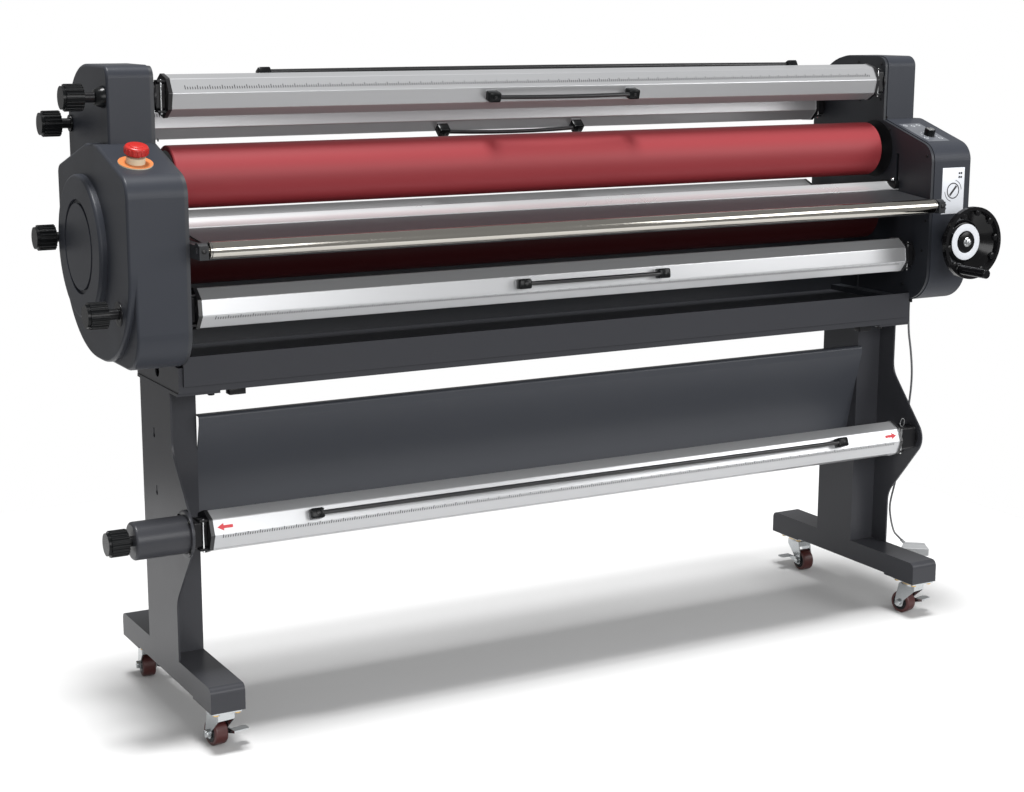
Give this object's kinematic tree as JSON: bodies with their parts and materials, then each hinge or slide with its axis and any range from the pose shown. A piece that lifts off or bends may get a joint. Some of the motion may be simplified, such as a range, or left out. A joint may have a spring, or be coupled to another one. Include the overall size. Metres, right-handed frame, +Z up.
{
  "type": "large format laminator",
  "caption": "Wide roll laminator: heated and driven nip rollers between two end covers, film shafts with brake knobs, lift handwheel, foot switch and castered stand.",
  "frame": {"origin": "on the floor, midway between the two feet along the rollers and midway along the feet", "axes": "+X along the rollers from the motor end cover towards the handwheel cover, -Y towards the operator, +Z up"},
  "size_m": [2.2833, 0.6449, 1.3],
  "materials": {
    "stand_paint": "gloss, light orange peel",
    "panel_paint": "satin",
    "frame_paint": "satin",
    "cover_paint": "satin, fine texture",
    "zinc": "bright zinc plated",
    "wheel_tread": "dark red tread",
    "steel": "turned",
    "chrome": "polished",
    "profile": "extruded, satin",
    "tube": "extruded, brushed along its length",
    "black_metal": "satin black",
    "knob_black": "satin black",
    "wheel_grey": "moulded dark grey",
    "red_silicone": "ground silicone, dull red",
    "dark_silicone": "ground silicone, dark red",
    "black_plastic": "moulded black",
    "switch_grey": "moulded grey",
    "cable": "satin black sheath",
    "stop_cream": "moulded cream",
    "stop_red": "moulded red"
  },
  "bodies": {
    "stand": {"foot_beam_left": "stand_paint", "foot_beam_right": "stand_paint", "column_left": "stand_paint", "column_right": "stand_paint", "slope_panel": "panel_paint", "base_beam": "stand_paint", "caster_plates": "zinc", "side_frame_left": "frame_paint", "side_frame_right": "frame_paint", "back_panel": "frame_paint", "left_cover": "cover_paint", "right_cover": "cover_paint", "feed_table": "panel_paint", "guide_profile": "profile", "idler_brackets": "steel", "gear_motor": "black_metal", "power_inlet": "black_plastic", "estop_collar": "stop_cream", "brake_housing": "black_metal", "cable_gland": "black_plastic", "foot_switch_base": "switch_grey", "foot_cable": "cable"},
    "fork_front_left": {"caster_fork_front_left": "zinc"},
    "wheel_front_left": {"caster_wheel_front_left": "wheel_tread"},
    "pedal_front_left": {"caster_pedal_front_left": "zinc"},
    "fork_front_right": {"caster_fork_front_right": "zinc"},
    "wheel_front_right": {"caster_wheel_front_right": "wheel_tread"},
    "pedal_front_right": {"caster_pedal_front_right": "zinc"},
    "fork_rear_left": {"caster_fork_rear_left": "zinc"},
    "wheel_rear_left": {"caster_wheel_rear_left": "wheel_tread"},
    "pedal_rear_left": {"caster_pedal_rear_left": "zinc"},
    "fork_rear_right": {"caster_fork_rear_right": "zinc"},
    "wheel_rear_right": {"caster_wheel_rear_right": "wheel_tread"},
    "pedal_rear_right": {"caster_pedal_rear_right": "zinc"},
    "lift": {"lift_blocks": "steel"},
    "upper_roller": {"upper_roller_core": "steel", "upper_roller_sleeve": "red_silicone"},
    "lower_roller": {"lower_roller_core": "steel", "lower_roller_sleeve": "dark_silicone", "drive_coupling": "steel"},
    "idler": {"idler_bar": "chrome"},
    "handwheel": {"handwheel": "wheel_grey"},
    "grip": {"handwheel_grip": "knob_black"},
    "dial": {"speed_dial": "knob_black"},
    "estop": {"estop_button": "stop_red"},
    "treadle": {"foot_switch_treadle": "switch_grey"},
    "upper_supply": {"upper_supply_tube": "tube", "upper_supply_chucks": "black_metal"},
    "upper_supply_tension": {"upper_supply_knob": "knob_black"},
    "rear_upper": {"rear_upper_tube": "tube", "rear_upper_chucks": "black_metal"},
    "rear_upper_tension": {"rear_upper_knob": "knob_black"},
    "rear_lower": {"rear_lower_tube": "tube"},
    "rear_lower_tension": {"rear_lower_knob": "knob_black"},
    "lower_supply": {"lower_supply_tube": "tube", "lower_supply_chucks": "black_metal"},
    "lower_supply_tension": {"lower_supply_knob": "knob_black"},
    "take_up": {"take_up_tube": "tube", "take_up_chucks": "black_metal"},
    "take_up_tension": {"take_up_knob": "knob_black"}
  },
  "joints": [
    {"name": "swivel_front_left", "type": "hinge", "parent": "stand", "child": "fork_front_left", "pos_m": [-0.864, -0.231, 0.07], "axis": [0, 0, 1], "continuous": true},
    {"name": "roll_front_left", "type": "hinge", "parent": "fork_front_left", "child": "wheel_front_left", "pos_m": [-0.86734, -0.20723, 0.026], "axis": [0.9903, 0.1392, 0], "continuous": true},
    {"name": "brake_front_left", "type": "hinge", "parent": "fork_front_left", "child": "pedal_front_left", "pos_m": [-0.86734, -0.20723, 0.026], "axis": [0.9903, 0.1392, 0], "range_deg": [0, 18]},
    {"name": "swivel_front_right", "type": "hinge", "parent": "stand", "child": "fork_front_right", "pos_m": [0.864, -0.231, 0.07], "axis": [0, 0, 1], "continuous": true},
    {"name": "roll_front_right", "type": "hinge", "parent": "fork_front_right", "child": "wheel_front_right", "pos_m": [0.85901, -0.20752, 0.026], "axis": [0.9781, 0.2079, 0], "continuous": true},
    {"name": "brake_front_right", "type": "hinge", "parent": "fork_front_right", "child": "pedal_front_right", "pos_m": [0.85901, -0.20752, 0.026], "axis": [0.9781, 0.2079, 0], "range_deg": [0, 18]},
    {"name": "swivel_rear_left", "type": "hinge", "parent": "stand", "child": "fork_rear_left", "pos_m": [-0.864, 0.208, 0.07], "axis": [0, 0, 1], "continuous": true},
    {"name": "roll_rear_left", "type": "hinge", "parent": "fork_rear_left", "child": "wheel_rear_left", "pos_m": [-0.86066, 0.23177, 0.026], "axis": [0.9903, -0.1392, 0], "continuous": true},
    {"name": "brake_rear_left", "type": "hinge", "parent": "fork_rear_left", "child": "pedal_rear_left", "pos_m": [-0.86066, 0.23177, 0.026], "axis": [0.9903, -0.1392, 0], "range_deg": [0, 18]},
    {"name": "swivel_rear_right", "type": "hinge", "parent": "stand", "child": "fork_rear_right", "pos_m": [0.864, 0.208, 0.07], "axis": [0, 0, 1], "continuous": true},
    {"name": "roll_rear_right", "type": "hinge", "parent": "fork_rear_right", "child": "wheel_rear_right", "pos_m": [0.86316, 0.18402, 0.026], "axis": [-0.9994, 0.0349, 0], "continuous": true},
    {"name": "brake_rear_right", "type": "hinge", "parent": "fork_rear_right", "child": "pedal_rear_right", "pos_m": [0.86316, 0.18402, 0.026], "axis": [-0.9994, 0.0349, 0], "range_deg": [0, 18]},
    {"name": "roller_lift", "type": "slide", "parent": "stand", "child": "lift", "axis": [0, 0, 1], "range_m": [-0.025, 0]},
    {"name": "upper_roller_spin", "type": "hinge", "parent": "lift", "child": "upper_roller", "pos_m": [0, 0, 1.085], "axis": [1, 0, 0], "continuous": true},
    {"name": "lower_roller_spin", "type": "hinge", "parent": "stand", "child": "lower_roller", "pos_m": [0, 0, 0.9364], "axis": [1, 0, 0], "continuous": true},
    {"name": "idler_spin", "type": "hinge", "parent": "stand", "child": "idler", "pos_m": [0, -0.24, 0.97], "axis": [1, 0, 0], "continuous": true},
    {"name": "handwheel_turn", "type": "hinge", "parent": "stand", "child": "handwheel", "pos_m": [0.946, -0.21, 0.886], "axis": [0, -1, 0], "range_deg": [-1080, 0]},
    {"name": "grip_spin", "type": "hinge", "parent": "handwheel", "child": "grip", "pos_m": [0.912, -0.3, 0.827], "axis": [0, -1, 0], "continuous": true},
    {"name": "speed_dial_turn", "type": "hinge", "parent": "stand", "child": "dial", "pos_m": [0.937, -0.133, 1.12163], "axis": [0, -0.3024, 0.9532], "range_deg": [-135, 135]},
    {"name": "stop_press", "type": "slide", "parent": "stand", "child": "estop", "axis": [0, 0.3024, -0.9532], "range_m": [0, 0.006], "stiffness_N_per_m": 400, "springref_m": -0.004},
    {"name": "treadle_press", "type": "hinge", "parent": "stand", "child": "treadle", "pos_m": [1.17877, 0.12255, 0.026], "axis": [0.788, -0.6157, 0], "range_deg": [0, 5], "stiffness_Nm_per_rad": 6, "springref_deg": -2.86},
    {"name": "upper_supply_spin", "type": "hinge", "parent": "stand", "child": "upper_supply", "pos_m": [0, -0.005, 1.241], "axis": [1, 0, 0], "continuous": true},
    {"name": "upper_supply_tension_turn", "type": "hinge", "parent": "upper_supply", "child": "upper_supply_tension", "pos_m": [-1.04, -0.005, 1.241], "axis": [1, 0, 0], "range_deg": [0, 720]},
    {"name": "rear_upper_spin", "type": "hinge", "parent": "stand", "child": "rear_upper", "pos_m": [0, 0.215, 1.181], "axis": [1, 0, 0], "continuous": true},
    {"name": "rear_upper_tension_turn", "type": "hinge", "parent": "rear_upper", "child": "rear_upper_tension", "pos_m": [-1.04, 0.215, 1.181], "axis": [1, 0, 0], "range_deg": [0, 720]},
    {"name": "rear_lower_spin", "type": "hinge", "parent": "stand", "child": "rear_lower", "pos_m": [0, 0.216, 0.956], "axis": [1, 0, 0], "continuous": true},
    {"name": "rear_lower_tension_turn", "type": "hinge", "parent": "rear_lower", "child": "rear_lower_tension", "pos_m": [-1.04, 0.216, 0.956], "axis": [1, 0, 0], "range_deg": [0, 720]},
    {"name": "lower_supply_spin", "type": "hinge", "parent": "stand", "child": "lower_supply", "pos_m": [0, -0.135, 0.848], "axis": [1, 0, 0], "continuous": true},
    {"name": "lower_supply_tension_turn", "type": "hinge", "parent": "lower_supply", "child": "lower_supply_tension", "pos_m": [-1.04, -0.135, 0.848], "axis": [1, 0, 0], "range_deg": [0, 720]},
    {"name": "take_up_spin", "type": "hinge", "parent": "stand", "child": "take_up", "pos_m": [0, -0.165, 0.418], "axis": [1, 0, 0], "continuous": true},
    {"name": "take_up_tension_turn", "type": "hinge", "parent": "take_up", "child": "take_up_tension", "pos_m": [-1.04, -0.165, 0.418], "axis": [1, 0, 0], "range_deg": [0, 720]}
  ],
  "couplings": [
    {"joint": "handwheel_turn", "follows": "roller_lift", "rad_per_m": 753.9}
  ]
}
